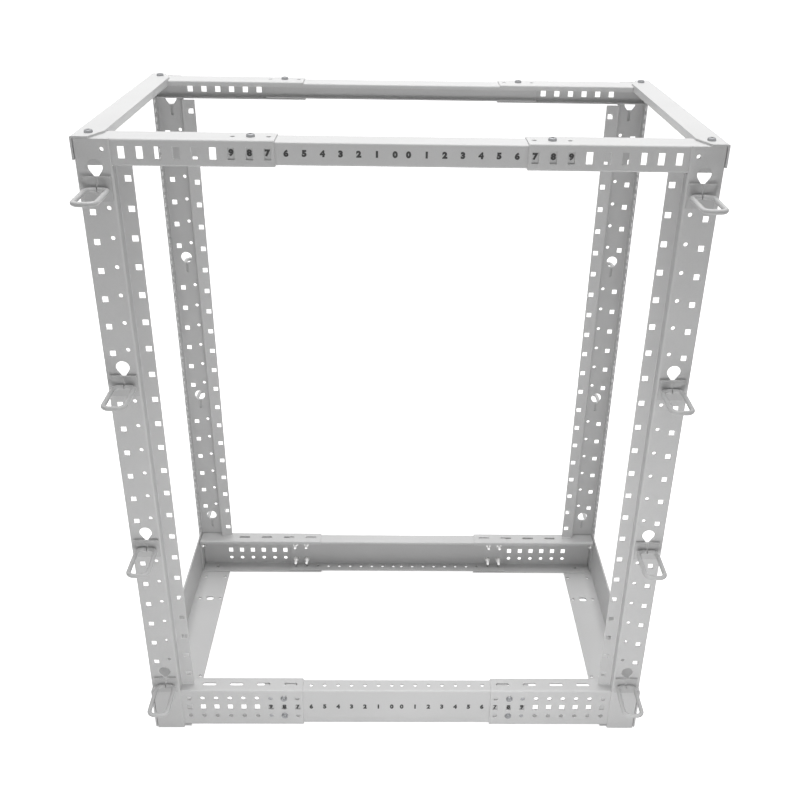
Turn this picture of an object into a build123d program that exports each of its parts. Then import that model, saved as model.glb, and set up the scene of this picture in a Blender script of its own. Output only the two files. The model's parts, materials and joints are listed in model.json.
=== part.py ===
from build123d import *
from math import cos, radians, sin
import os

# A four post open frame rack of bent sheet steel. Its depth rails telescope: each end frame slides
# on four inner sleeves. Millimetres. +Z is up and X runs along the rack's depth, -X being the front.
# Y runs across the width, -Y being the right side. The origin is on the floor below the centre.

# Whole rack
DEPTH = 910.4             # outer face to outer face of the mounting flanges, as set
POST_HEIGHT = 1114.0
SHEET = 2.0
BAR_SHEET = 3.0           # the crossbars are thicker
BEND = 1.0                # inside radius of every bend
UNIT = 44.45              # one rack unit
BAY_FLOOR = 98.4          # floor to the bottom of the first unit
HEADROOM = 37.0           # least height left above the last unit
DEPTH_PITCH = 25.4        # one step of the depth rails
MOUNTING_SPREAD = 465.1   # between the mounting holes of the two sides
MOUNT_COLUMN = 21.45      # from the web's outer face to the mounting holes
HOLE_PITCH = 15.875       # from the middle mounting hole of a unit to its neighbours
JOIN_GAP = 0.2            # between neighbouring sheets that are bolted together
THROUGH = 3 * SHEET       # length of a cutter through one sheet
OVERRUN = 1.0             # how far a cutter runs past an end

# Posts, measured inwards from the outer faces of flange and web
FLANGE = 29.0
WEB = 51.2
JOGGLE = 18.0
POST_DEPTH = 74.0
SQUARE_HOLE = 9.5
SMALL_HOLE_R = 3.2
SQUARE_COLUMN = 14.9
SMALL_COLUMN = 39.0
SMALL_RISE = 6.35         # the small holes sit this much above the square ones
INNER_COLUMN = 65.9
CORNER_HOLE_DROP = 14.4   # from the post's top to the small hole in its corner
TOP_BOLT_DROP = 19.0      # from the post's top to the crossbar's bolt through the flange
FOOT_BOLT_Z = 69.0        # the same bolt of the bottom crossbar

# Keyholes and cable rings, spread evenly over the units
RING_ROWS = 4
KEYHOLE_COLUMN = 27.2
KEYHOLE_RISE = 20.9
KEYHOLE_R = 10.5
KEYHOLE_SHOULDER = 26.0   # degrees below level where the circle turns into the narrowing neck
KEYHOLE_SLOT = 5.0
KEYHOLE_DROP = 14.5       # from the circle's centre to where it has narrowed to the slot
KEYHOLE_LENGTH = 32.0     # from the circle's centre to the slot's lower end
PLATE_WIDTH = 41.0
PLATE_HEIGHT = 37.0
PLATE_TOP = 8.5           # above its unit's square holes
PLATE_SHEET = 1.6
RING_WIDTH = 40.0
RING_REACH = 80.0
RING_DROP = 19.0          # from the plate's top to the ring's middle
RING_ROD_R = 3.3
RING_CORNER = 11.0
RING_NECK = 1.0           # how far the ring's back bar sinks into the plate

# Top depth rails
TOP_RAIL_HEIGHT = 38.0
TOP_LEG = 50.0
TOP_LIP = 9.0
TOP_FOOT = 13.0
WINDOW_WIDTH = 9.6
TOP_WINDOW_HEIGHT = 17.5
WINDOW_COUNT = 9
WINDOW_INSET = 64.8       # from the flange's outer face to the first window
WINDOW_TO_END = 9.9       # from the last window to the end of the outer section
JOINT_COLUMNS = 3         # the last windows with bolt holes; the middle one is bolted
SLEEVE_LAP = 72.7         # how far a sleeve reaches into each outer section, as set
SLIDE_GAP = 0.4

# Bottom depth rails
BOTTOM_RAIL_BASE = 5.8
BOTTOM_RAIL_HEIGHT = 86.4
BOTTOM_LEG = 35.0
BOTTOM_LIP = 8.0
BOTTOM_WINDOW_HEIGHT = 12.0
BOTTOM_WINDOW_Z = {"right": 51.0, "left": 44.0}   # the left side's rails are turned over
ROUND_ROW = 21.6          # from the windows' row to the rows of round holes
ROUND_HOLE_R = 4.2
LEG_SLOT_LENGTH = 25.0
LEG_SLOT_WIDTH = 6.5
LEG_SLOT_COUNT = 4
LEG_SLOT_INSET = 102.3    # from the flange's outer face to the first slot

# Crossbars
TOP_BAR_WIDTH = 39.0
TOP_BAR_DROP = 33.0
TOP_BAR_LIP = 12.0
TOP_BAR_CUT_X = 14.0           # the cut inner corner at each end, along X and along Y
TOP_BAR_CUT_Y = 36.0
BOTTOM_BAR_WIDTH = 64.0
BOTTOM_BAR_TOP = 92.0
BOLT_HOLE_R = 3.5
CORNER_BOLT_X = 17.0           # from the flange's outer face
CORNER_BOLT_Y = 24.5           # from the web's outer face
JOINT_BOLT = 25.0              # from the web's outer face
CROSS_SLOT_LENGTH = 17.0
CROSS_SLOT_WIDTH = 12.0
CROSS_SLOT_X = 34.5            # from the flange's outer face
CROSS_SLOT_Y = 132.0           # from the web's outer face
CROSS_HOLE_SPREAD = 45.0
CROSS_HOLE_IN = 55.0           # the outer pair of round holes, from the web's outer face

WIDTH = MOUNTING_SPREAD + 2 * MOUNT_COLUMN
HALF_WIDTH = WIDTH / 2
HALF_DEPTH = DEPTH / 2
UNITS = int((POST_HEIGHT - BAY_FLOOR - HEADROOM) / UNIT)
BAY_TOP = BAY_FLOOR + UNITS * UNIT
TOP_RAIL_BASE = POST_HEIGHT - TOP_RAIL_HEIGHT
BOTTOM_RAIL_TOP = BOTTOM_RAIL_BASE + BOTTOM_RAIL_HEIGHT
RAIL_FACE = SHEET + JOIN_GAP               # the rails' webs lie behind the posts' webs
RAIL_START = RAIL_FACE + BEND              # clear of the bend between web and mounting flange
SLEEVE_INSET = SHEET + SLIDE_GAP           # the sleeves nest this much inside the outer sections
RAIL_END = WINDOW_INSET + (WINDOW_COUNT - 1) * DEPTH_PITCH + WINDOW_TO_END
SLEEVE_HALF = HALF_DEPTH - RAIL_END + SLEEVE_LAP
TOP_WINDOW_Z = TOP_RAIL_BASE + TOP_RAIL_HEIGHT / 2
UNIT_HEIGHTS = [BAY_FLOOR + (n + 0.5) * UNIT for n in range(UNITS)]
KEY_UNITS = [row * (UNITS - 1) // (RING_ROWS - 1) for row in range(RING_ROWS)]
ENDS = {"front": False, "rear": True}
SIDES = {"right": False, "left": True}


def bent_sheet(points, radii, side):
    """Cross-section of a bent sheet: its outer line and the same line a sheet's thickness inside."""
    line = FilletPolyline(*points, radius=radii)
    return make_face(offset(line, amount=SHEET, side=side, kind=Kind.ARC).edges())


def hole_box(centre, size):
    """A cutter for a rectangular hole, given its centre and its three sizes."""
    return Pos(*centre) * Box(*size)


def round_hole(centre, radius, along, length=THROUGH):
    """A cutter for a round hole along X, Y or Z."""
    turn = {"X": Rot(0, 90, 0), "Y": Rot(90, 0, 0), "Z": Rot(0, 0, 0)}[along]
    return Pos(*centre) * turn * Cylinder(radius, length)


def slot_hole(centre, length, width):
    """A cutter for an oblong hole through a level leg, with its long side along X."""
    return Pos(*centre) * extrude(SlotOverall(length, width), THROUGH / 2, both=True)


def corner(u, v, z):
    """A point of the front right corner, given inwards from the outer faces of flange and web."""
    return (-HALF_DEPTH + u, -HALF_WIDTH + v, z)


def placed(shape, end, side):
    """A copy of a front right piece at the wanted end and side."""
    if ENDS[end]:
        shape = mirror(shape, about=Plane.YZ)
    if SIDES[side]:
        shape = mirror(shape, about=Plane.XZ)
    return shape


def keyhole(z):
    """A cutter for a round hole that narrows downwards to a slot, in the post's web."""
    half = KEYHOLE_SLOT / 2
    low = KEYHOLE_LENGTH - half
    out = KEYHOLE_R * cos(radians(KEYHOLE_SHOULDER))
    down = KEYHOLE_R * sin(radians(KEYHOLE_SHOULDER))
    neck = Polyline((-out, -down), (out, -down), (half, -KEYHOLE_DROP), (half, -low),
                    (-half, -low), (-half, -KEYHOLE_DROP), close=True)
    outline = Circle(KEYHOLE_R) + make_face(neck) + Pos(0, -low) * Circle(half)
    cutter = extrude(Plane.XZ * outline, THROUGH / 2, both=True)
    return Pos(*corner(KEYHOLE_COLUMN, SHEET / 2, z + KEYHOLE_RISE)) * cutter


def post():
    """The front right post, from the mounting flange round the web to the inner flange."""
    outline = [corner(0, FLANGE, 0)[:2], corner(0, 0, 0)[:2], corner(WEB, 0, 0)[:2],
               corner(WEB, JOGGLE, 0)[:2], corner(POST_DEPTH, JOGGLE, 0)[:2]]
    section = bent_sheet(outline, [BEND + SHEET, BEND + SHEET, BEND], Side.LEFT)
    body = extrude(section, POST_HEIGHT, dir=(0, 0, 1))
    cutters = []
    near = WEB - BEND - SHEET
    far = POST_DEPTH + OVERRUN
    ends = ((-OVERRUN, BAY_FLOOR - SHEET), (BAY_TOP - SHEET, POST_HEIGHT + OVERRUN))
    for low, high in ends:
        middle = corner((near + far) / 2, SHEET + JOGGLE, (low + high) / 2)
        size = (far - near, 2 * JOGGLE, high - low)
        cutters.append(hole_box(middle, size))
    for number, z in enumerate(UNIT_HEIGHTS):
        for rise in (-HOLE_PITCH, 0, HOLE_PITCH):
            spot = corner(SHEET / 2, MOUNT_COLUMN, z + rise)
            cutters.append(hole_box(spot, (THROUGH, SQUARE_HOLE, SQUARE_HOLE)))
        spot = corner(INNER_COLUMN, JOGGLE + SHEET / 2, z)
        cutters.append(hole_box(spot, (SQUARE_HOLE, THROUGH, SQUARE_HOLE)))
        if number in KEY_UNITS:
            cutters.append(keyhole(z))
            continue
        spot = corner(SQUARE_COLUMN, SHEET / 2, z)
        cutters.append(hole_box(spot, (SQUARE_HOLE, THROUGH, SQUARE_HOLE)))
        cutters.append(round_hole(corner(SMALL_COLUMN, SHEET / 2, z + SMALL_RISE), SMALL_HOLE_R, "Y"))
    spot = corner(SMALL_COLUMN, SHEET / 2, POST_HEIGHT - CORNER_HOLE_DROP)
    cutters.append(round_hole(spot, SMALL_HOLE_R, "Y"))
    for z in (FOOT_BOLT_Z, POST_HEIGHT - TOP_BOLT_DROP):
        cutters.append(round_hole(corner(SHEET / 2, MOUNT_COLUMN, z), BOLT_HOLE_R, "X"))
    return body - cutters


def channel(inset, base, height, leg, lip, foot, start, length):
    """A rail along X: a web with a lipped top leg and a foot. inset counts nested sheets."""
    shift = RAIL_FACE + inset
    low = base + inset
    high = base + height - inset
    far = RAIL_FACE + leg - inset
    outline = [(foot, low), (shift, low), (shift, high), (far, high), (far, high - lip + inset)]
    points = [(-HALF_WIDTH + v, z) for v, z in outline]
    section = bent_sheet(points, BEND + SHEET, Side.RIGHT)
    return Pos(start, 0, 0) * extrude(Plane.YZ * section, length, dir=(1, 0, 0))


def top_channel(inset, start, length):
    return channel(inset, TOP_RAIL_BASE, TOP_RAIL_HEIGHT, TOP_LEG, TOP_LIP,
                   RAIL_FACE + TOP_FOOT, start, length)


def bottom_channel(inset, start, length):
    return channel(inset, BOTTOM_RAIL_BASE, BOTTOM_RAIL_HEIGHT, BOTTOM_LEG, BOTTOM_LIP,
                   RAIL_FACE + BOTTOM_LEG - inset, start, length)


def window_columns():
    """Distances of the windows from the flange's outer face."""
    return [WINDOW_INSET + n * DEPTH_PITCH for n in range(WINDOW_COUNT)]


def top_rail():
    """The front right outer section of the top depth rail."""
    body = top_channel(0, -HALF_DEPTH + RAIL_START, RAIL_END - RAIL_START)
    web = RAIL_FACE + SHEET / 2
    cutters = []
    for u in window_columns():
        size = (WINDOW_WIDTH, THROUGH, TOP_WINDOW_HEIGHT)
        cutters.append(hole_box(corner(u, web, TOP_WINDOW_Z), size))
    top = POST_HEIGHT - SHEET / 2
    cutters.append(round_hole(corner(CORNER_BOLT_X, CORNER_BOLT_Y, top), BOLT_HOLE_R, "Z"))
    for u in window_columns()[-JOINT_COLUMNS:]:
        cutters.append(round_hole(corner(u, JOINT_BOLT, top), BOLT_HOLE_R, "Z"))
    spot = corner(SMALL_COLUMN, web, POST_HEIGHT - CORNER_HOLE_DROP)
    cutters.append(round_hole(spot, SMALL_HOLE_R, "Y"))
    return body - cutters


def bottom_rail(side):
    """The front outer section of the bottom depth rail, with a side's row of windows, at the right."""
    body = bottom_channel(0, -HALF_DEPTH + RAIL_START, RAIL_END - RAIL_START)
    web = RAIL_FACE + SHEET / 2
    row = BOTTOM_WINDOW_Z[side]
    cutters = []
    for u in window_columns():
        size = (WINDOW_WIDTH, THROUGH, BOTTOM_WINDOW_HEIGHT)
        cutters.append(hole_box(corner(u, web, row), size))
        for rise in (-ROUND_ROW, ROUND_ROW):
            cutters.append(round_hole(corner(u, web, row + rise), ROUND_HOLE_R, "Y"))
    leg = RAIL_FACE + BOTTOM_LEG / 2
    for n in range(LEG_SLOT_COUNT):
        spot = corner(LEG_SLOT_INSET + n * 2 * DEPTH_PITCH, leg, BOTTOM_RAIL_TOP - SHEET / 2)
        cutters.append(slot_hole(spot, LEG_SLOT_LENGTH, LEG_SLOT_WIDTH))
    spot = corner(CROSS_SLOT_X, leg, BOTTOM_RAIL_BASE + SHEET / 2)
    cutters.append(round_hole(spot, BOLT_HOLE_R, "Z"))
    return body - cutters


def mark_columns():
    """Places along X of the printed marks, and so of the sleeves' holes."""
    nearest = HALF_DEPTH - WINDOW_INSET
    half = [nearest - n * DEPTH_PITCH for n in range(int(nearest // DEPTH_PITCH) + 1)]
    kept = [x for x in half if x < SLEEVE_HALF - DEPTH_PITCH / 4]
    return [-x for x in kept] + kept[::-1]


def top_sleeve():
    """The right inner sleeve of the top depth rail."""
    body = top_channel(SLEEVE_INSET, -SLEEVE_HALF, 2 * SLEEVE_HALF)
    top = POST_HEIGHT - SLEEVE_INSET - SHEET / 2
    joint = HALF_DEPTH - window_columns()[-2]
    cutters = [round_hole((x, -HALF_WIDTH + JOINT_BOLT, top), BOLT_HOLE_R, "Z") for x in (-joint, joint)]
    return body - cutters


def bottom_sleeve(side):
    """The inner sleeve of the bottom depth rail, with a side's holes, at the right. The left one is
    turned over, so its row of small holes is in the lower leg."""
    body = bottom_channel(SLEEVE_INSET, -SLEEVE_HALF, 2 * SLEEVE_HALF)
    leg = -HALF_WIDTH + RAIL_FACE + BOTTOM_LEG / 2
    web = -HALF_WIDTH + RAIL_FACE + SLEEVE_INSET + SHEET / 2
    heights = {"right": BOTTOM_RAIL_TOP - SLEEVE_INSET - SHEET / 2,
               "left": BOTTOM_RAIL_BASE + SLEEVE_INSET + SHEET / 2}
    cutters = [round_hole((x, leg, heights[side]), SMALL_HOLE_R, "Z") for x in mark_columns()]
    for u in window_columns()[-JOINT_COLUMNS:-1]:
        for x in (u - HALF_DEPTH, HALF_DEPTH - u):
            for rise in (-ROUND_ROW, ROUND_ROW):
                spot = (x, web, BOTTOM_WINDOW_Z[side] + rise)
                cutters.append(round_hole(spot, ROUND_HOLE_R, "Y"))
    return body - cutters


def top_crossbar():
    """The front top crossbar: it lies on the depth rails and laps over the mounting flanges."""
    out = -HALF_DEPTH - JOIN_GAP - BAR_SHEET
    inner = out + TOP_BAR_WIDTH
    low = POST_HEIGHT + JOIN_GAP
    high = low + BAR_SHEET
    drop = Pos(out + BAR_SHEET / 2, 0, high - TOP_BAR_DROP / 2) * Box(BAR_SHEET, WIDTH, TOP_BAR_DROP)
    cut_x = inner - TOP_BAR_CUT_X
    cut_y = HALF_WIDTH - TOP_BAR_CUT_Y
    outline = Polyline((out, -HALF_WIDTH), (cut_x, -HALF_WIDTH), (inner, -cut_y),
                       (inner, cut_y), (cut_x, HALF_WIDTH), (out, HALF_WIDTH), close=True)
    leg = extrude(Pos(0, 0, low) * make_face(outline), BAR_SHEET, dir=(0, 0, 1))
    lip_size = (BAR_SHEET, WIDTH - 2 * (RAIL_FACE + TOP_LEG + SHEET), TOP_BAR_LIP)
    lip = Pos(inner - BAR_SHEET / 2, 0, high - TOP_BAR_LIP / 2) * Box(*lip_size)
    body = drop + leg + lip
    outer_edge = body.edges().filter_by(Axis.Y).group_by(Axis.Z)[-1].sort_by(Axis.X)[0]
    body = fillet(outer_edge, BEND + SHEET / 2)
    cutters = []
    for side in (-1, 1):
        x = -HALF_DEPTH + CORNER_BOLT_X
        y = side * (HALF_WIDTH - CORNER_BOLT_Y)
        cutters.append(round_hole((x, y, low + BAR_SHEET / 2), BOLT_HOLE_R, "Z"))
        spot = (out + BAR_SHEET / 2, side * MOUNTING_SPREAD / 2, POST_HEIGHT - TOP_BOLT_DROP)
        cutters.append(round_hole(spot, BOLT_HOLE_R, "X"))
    return body - cutters


def bottom_crossbar():
    """The front bottom crossbar: an upright outside the mounting flanges and a wide level flange."""
    out = -HALF_DEPTH - JOIN_GAP - BAR_SHEET
    high = BOTTOM_RAIL_BASE - JOIN_GAP
    low = high - BAR_SHEET
    middle = (low + high) / 2
    inner = -HALF_DEPTH + BOTTOM_BAR_WIDTH
    upright_size = (BAR_SHEET, WIDTH, BOTTOM_BAR_TOP - low)
    upright = Pos(out + BAR_SHEET / 2, 0, (low + BOTTOM_BAR_TOP) / 2) * Box(*upright_size)
    flange = Pos((out + inner) / 2, 0, middle) * Box(inner - out, WIDTH - 2 * RAIL_FACE, BAR_SHEET)
    body = upright + flange
    outer_edge = body.edges().filter_by(Axis.Y).group_by(Axis.Z)[0].sort_by(Axis.X)[0]
    body = fillet(outer_edge, BEND + SHEET / 2)
    cutters = []
    for side in (-1, 1):
        notch = (RAIL_START + JOIN_GAP, 2 * (FLANGE + JOIN_GAP), THROUGH)
        spot = (-HALF_DEPTH - JOIN_GAP + notch[0] / 2, side * HALF_WIDTH, middle)
        cutters.append(hole_box(spot, notch))
        spot = (out + BAR_SHEET / 2, side * MOUNTING_SPREAD / 2, FOOT_BOLT_Z)
        cutters.append(round_hole(spot, BOLT_HOLE_R, "X"))
        x = -HALF_DEPTH + CROSS_SLOT_X
        y = side * (HALF_WIDTH - CROSS_SLOT_Y)
        cutters.append(slot_hole((x, y, middle), CROSS_SLOT_LENGTH, CROSS_SLOT_WIDTH))
        for shift in (-CROSS_HOLE_SPREAD / 2, CROSS_HOLE_SPREAD / 2):
            cutters.append(round_hole((x + shift, y, middle), SMALL_HOLE_R, "Z"))
            spot = (x + shift, side * (HALF_WIDTH - CROSS_HOLE_IN), middle)
            cutters.append(round_hole(spot, SMALL_HOLE_R, "Z"))
        y = side * (HALF_WIDTH - RAIL_FACE - BOTTOM_LEG / 2)
        cutters.append(round_hole((x, y, middle), BOLT_HOLE_R, "Z"))
    return body - cutters


def cable_ring(z):
    """A cable ring of round rod on its plate, on the front right post's web at one unit."""
    back = -HALF_WIDTH - JOIN_GAP
    x = -HALF_DEPTH + KEYHOLE_COLUMN
    middle = z + PLATE_TOP - PLATE_HEIGHT / 2
    plate = Pos(x, back - PLATE_SHEET / 2, middle) * Box(PLATE_WIDTH, PLATE_SHEET, PLATE_HEIGHT)
    ring_z = z + PLATE_TOP - RING_DROP
    near = back - PLATE_SHEET - RING_ROD_R + RING_NECK
    far = -HALF_WIDTH - RING_REACH + RING_ROD_R
    loop = RectangleRounded(RING_WIDTH - 2 * RING_ROD_R, near - far, RING_CORNER)
    path = (Pos(x, (near + far) / 2, ring_z) * loop).wire()
    start = path @ 0
    rod = sweep(Plane(origin=start, z_dir=path % 0) * Circle(RING_ROD_R), path=path)
    return plate + rod


def write(name, shape):
    export_step(shape.solid(), f"parts/{name}.step")


def main():
    os.makedirs("parts", exist_ok=True)
    corner_pieces = {"post": post(), "top_rail": top_rail()}
    for number, unit in enumerate(reversed(KEY_UNITS), start=1):
        corner_pieces[f"cable_ring_{number}"] = cable_ring(UNIT_HEIGHTS[unit])
    for end in ENDS:
        for side in SIDES:
            for name, shape in corner_pieces.items():
                write(f"{end}_{side}_{name}", placed(shape, end, side))
            write(f"{end}_{side}_bottom_rail", placed(bottom_rail(side), end, side))
    for side in SIDES:
        write(f"{side}_top_sleeve", placed(top_sleeve(), "front", side))
        write(f"{side}_bottom_sleeve", placed(bottom_sleeve(side), "front", side))
    bars = {"top_crossbar": top_crossbar(), "bottom_crossbar": bottom_crossbar()}
    for end in ENDS:
        for name, shape in bars.items():
            write(f"{end}_{name}", placed(shape, end, "right"))


main()
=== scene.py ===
import json
import math

import bmesh
import bpy
from bpy.props import FloatProperty, FloatVectorProperty, IntProperty, PointerProperty
from bpy.props import StringProperty
from mathutils import Matrix, Vector


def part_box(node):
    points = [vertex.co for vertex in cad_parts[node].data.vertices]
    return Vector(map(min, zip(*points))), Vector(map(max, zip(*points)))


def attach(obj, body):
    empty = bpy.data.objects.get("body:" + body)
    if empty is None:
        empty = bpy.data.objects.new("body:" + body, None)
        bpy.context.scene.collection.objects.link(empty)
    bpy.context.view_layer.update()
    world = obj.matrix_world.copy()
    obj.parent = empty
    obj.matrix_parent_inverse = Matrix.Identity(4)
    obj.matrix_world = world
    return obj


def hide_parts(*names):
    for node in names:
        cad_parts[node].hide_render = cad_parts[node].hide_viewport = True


bl_info = {
    "name": "Four Post Open Frame Rack",
    "version": (1, 0, 0),
    "blender": (4, 5, 0),
    "location": "View3D > Sidebar > Rack",
    "description": "Powder coat, bolts and depth numbers of a telescoping open frame rack",
    "category": "Object",
}

# Everything is in metres in the frame's own axes: +Z up, -X the front, -Y the right side.
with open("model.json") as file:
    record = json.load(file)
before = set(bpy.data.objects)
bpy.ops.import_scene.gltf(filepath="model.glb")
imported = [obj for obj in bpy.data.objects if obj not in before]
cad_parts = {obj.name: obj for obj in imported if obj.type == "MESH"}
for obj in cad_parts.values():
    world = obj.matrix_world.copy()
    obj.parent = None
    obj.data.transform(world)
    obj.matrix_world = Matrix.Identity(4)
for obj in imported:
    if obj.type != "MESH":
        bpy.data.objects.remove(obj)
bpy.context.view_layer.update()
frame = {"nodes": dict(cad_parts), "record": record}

MM = 0.001
ENDS = {"front": -1, "rear": 1}
SIDES = {"right": -1, "left": 1}
BODY_OF_END = {"front": "front_frame", "rear": "rear_frame"}
DEPTH_STEP = 25.4 * MM
FIRST_MARK = 9.4 * MM          # from the rack's middle to the nearest number
DIGITS = 10
JOINT_COLUMN = FIRST_MARK + 8 * DEPTH_STEP
PIN_COLUMN = FIRST_MARK + 9 * DEPTH_STEP
WINDOW_ROWS = {"right": 51 * MM, "left": 44 * MM}      # heights of the bottom rails' windows
ROUND_ROW = 21.6 * MM          # from there to the rows of round holes
TOP_ROW = 1095 * MM            # height of the top rails' windows and of the crossbars' top bolts
FOOT_ROW = 69 * MM             # height of the bottom crossbars' bolts
SHEET = 2 * MM
BAR_SHEET = 3 * MM
JOIN_GAP = 0.2 * MM            # between parts that are bolted face to face
SLIDE_GAP = 0.4 * MM           # between an outer rail and its sleeve
DIGIT_SHARE = 0.73             # a digit's height as a share of the lettering's size
LETTER_STEPS = 4               # steps in each curved stroke of a digit
RING_ROWS = 4
RING_WIDTH = 40 * MM
RING_DROP = 19 * MM            # from a plate's top edge to its ring's middle
RING_NECK = 1 * MM             # how far the ring's back bar sinks into the plate
PLATE_SHEET = 1.6 * MM

POST_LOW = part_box("front_right_post")[0]
BAR_LOW, BAR_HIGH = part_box("front_top_crossbar")
RAIL_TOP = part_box("front_right_top_rail")[1].z
FOOT_RAIL_FACE = -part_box("front_right_bottom_rail")[0].y
SLEEVE_LOW, SLEEVE_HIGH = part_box("right_top_sleeve")
FOOT_SLEEVE_FACE = -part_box("right_bottom_sleeve")[0].y
BAR_FACE = -BAR_LOW.x          # outer faces of the crossbars
FLANGE_FACE = -POST_LOW.x      # outer faces of the mounting flanges
WEB_FACE = -POST_LOW.y         # outer faces of the posts' webs
MOUNT_COLUMN = WEB_FACE - 21.45 * MM       # the equipment holes, which take the crossbars' bolts too
CORNER_COLUMN = WEB_FACE - 24.5 * MM       # the bolts on top of the corners
CORNER_BOLT_X = FLANGE_FACE - 17 * MM
LEG_COLUMN = WEB_FACE - 25 * MM            # the top joints' bolts

DARK_PATCH, LIGHT_PATCH = 0.93, 1.06       # how uneven the powder coat is
EDGE_COAT_AND_HIGHLIGHT = 1.42               # how much lighter the cut edges are painted: the thin coat there, and a painted highlight along each edge
RUBBED_ZINC = 0.86             # how dark zinc is where tools have rubbed it
INK_WEAR = (1.9, 0.01)         # factor and lift of the ink's colour in its thin spots
FIBRE = 0.99                   # how dark the paper's fibre is

SENSOR_WIDTH = 36.0            # of the camera, in millimetres
CLIP_START, CLIP_END = 0.02, 200.0
# Each lamp: the setting with its power, its side length, its place and the height it aims at
LAMPS = {
    "overhead_softbox": ("top_light", 2.4, (0.0, 0.4, 3.2), 0.5),
    "ceiling_softbox": ("high_light", 4.0, (0.0, 0.3, 6.5), 0.5),
    "rear_softbox": ("side_light", 1.6, (2.6, -1.0, 1.0), 0.5),
    "front_softbox": ("side_light", 1.6, (-2.6, -1.0, 1.0), 0.5),
    "low_back_softbox": ("back_light", 1.2, (0.1, 2.3, 0.35), 0.2),
    "near_foot_lamp": ("near_foot_light", 0.6, (0.1, -1.3, 0.15), 0.0),
    "far_foot_lamp": ("far_foot_light", 0.5, (0.0, 1.25, 0.12), 0.05),
}


def linear(code):
    """A colour written as sRGB hex, as the linear values that Blender works in."""
    parts = [int(code[i:i + 2], 16) / 255 for i in (1, 3, 5)]
    return [c / 12.92 if c <= 0.04045 else ((c + 0.055) / 1.055) ** 2.4 for c in parts] + [1.0]


def shade(colour, factor, lift=0.0):
    """A linear colour made lighter or darker, up to white."""
    return [min(1.0, c * factor + lift) for c in colour[:3]] + [1.0]


class RackBoltSettings(bpy.types.PropertyGroup):
    head_radius: FloatProperty(name="Head Radius", description="Radius of a bolt's round head",
                               default=6.2 * MM, unit="LENGTH")
    head_height: FloatProperty(name="Head Height", description="Height of a bolt's head",
                               default=4.2 * MM, unit="LENGTH")
    socket_radius: FloatProperty(name="Socket Radius", description="Corner radius of the hex socket",
                                 default=2.3 * MM, unit="LENGTH")
    shank_radius: FloatProperty(name="Shank Radius", description="Outer radius of the thread",
                                default=3.0 * MM, unit="LENGTH")
    thread_pitch: FloatProperty(name="Thread Pitch", description="Distance between the thread's turns",
                                default=1.0 * MM, unit="LENGTH")
    nut_radius: FloatProperty(name="Nut Radius", description="Radius over a nut's corners",
                              default=6.4 * MM, unit="LENGTH")
    nut_height: FloatProperty(name="Nut Height", description="Height of a nut",
                              default=5.2 * MM, unit="LENGTH")
    shank_length: FloatProperty(name="Shank Length", description="Length under a crossbar bolt's head",
                                default=14 * MM, unit="LENGTH")
    joint_length: FloatProperty(name="Joint Shank", description="Length of a bottom joint's bolt",
                                default=24 * MM, unit="LENGTH")
    top_joint_length: FloatProperty(name="Top Joint Shank", description="Length inside a top sleeve",
                                    default=9 * MM, unit="LENGTH")
    small_socket: FloatProperty(name="Small Socket", description="Corner radius of the small heads' socket",
                                default=1.5 * MM, unit="LENGTH")
    pin_radius: FloatProperty(name="Pin Radius", description="Radius of the flush heads by the cups",
                              default=4.1 * MM, unit="LENGTH")
    pin_height: FloatProperty(name="Pin Height", description="How far the flush heads stand out",
                              default=0.7 * MM, unit="LENGTH")
    pin_depth: FloatProperty(name="Pin Depth", description="How far the flush heads sink into their holes",
                             default=0.6 * MM, unit="LENGTH")
    cup_head_radius: FloatProperty(name="Cup Head Radius", description="Radius of the head inside a cup",
                                   default=3.6 * MM, unit="LENGTH")
    cup_head_height: FloatProperty(name="Cup Head Height", description="Height of the head inside a cup",
                                   default=1.6 * MM, unit="LENGTH")
    cup_height: FloatProperty(name="Cup Height", description="Height of the cup washers",
                              default=2.2 * MM, unit="LENGTH")
    cup_radius: FloatProperty(name="Cup Radius", description="Radius of the joint bolts' cup washers",
                              default=6.4 * MM, unit="LENGTH")
    sides: IntProperty(name="Sides", description="Sides of each round head and thread, in sixes",
                       default=24, min=12, max=48, step=6)


class RackRingSettings(bpy.types.PropertyGroup):
    rod_radius: FloatProperty(name="Rod Radius", description="Radius of the ring's round rod",
                              default=3.8 * MM, unit="LENGTH")
    corner: FloatProperty(name="Corner Radius", description="Radius of the ring's bends",
                          default=11 * MM, unit="LENGTH")
    gap: FloatProperty(name="Gap", description="Gap between the rod's two ends", default=1.6 * MM,
                       unit="LENGTH")
    lip: FloatProperty(name="Lip", description="How far the plate's top edge is folded out",
                       default=4.6 * MM, unit="LENGTH")
    rib: FloatProperty(name="Rib Radius", description="Radius of the rib pressed into the plate",
                       default=1.5 * MM, unit="LENGTH")


class RackNumberSettings(bpy.types.PropertyGroup):
    height: FloatProperty(name="Top Height", description="Height of the top rails' numbers",
                          default=8.4 * MM, unit="LENGTH")
    foot_height: FloatProperty(name="Bottom Height", description="Height of the bottom rails' numbers",
                               default=9.6 * MM, unit="LENGTH")
    bold: FloatProperty(name="Boldness", description="How far each stroke is widened",
                        default=0.9 * MM, unit="LENGTH")
    width: FloatProperty(name="Width", description="Width of a digit as a share of the lettering's own",
                         default=1.08, subtype="FACTOR")
    foot_width: FloatProperty(name="Bottom Width", description="The same share for the bottom rails",
                              default=0.92, subtype="FACTOR")
    rise: FloatProperty(name="Rise", description="How far above the middle of the windows they stand",
                        default=1.2 * MM, unit="LENGTH")
    foot_rise: FloatProperty(name="Bottom Rise", description="The same height for the bottom rails",
                             default=-0.8 * MM, unit="LENGTH")
    film: FloatProperty(name="Film", description="How far the ink stands off the coat",
                        default=0.08 * MM, unit="LENGTH")


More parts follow.
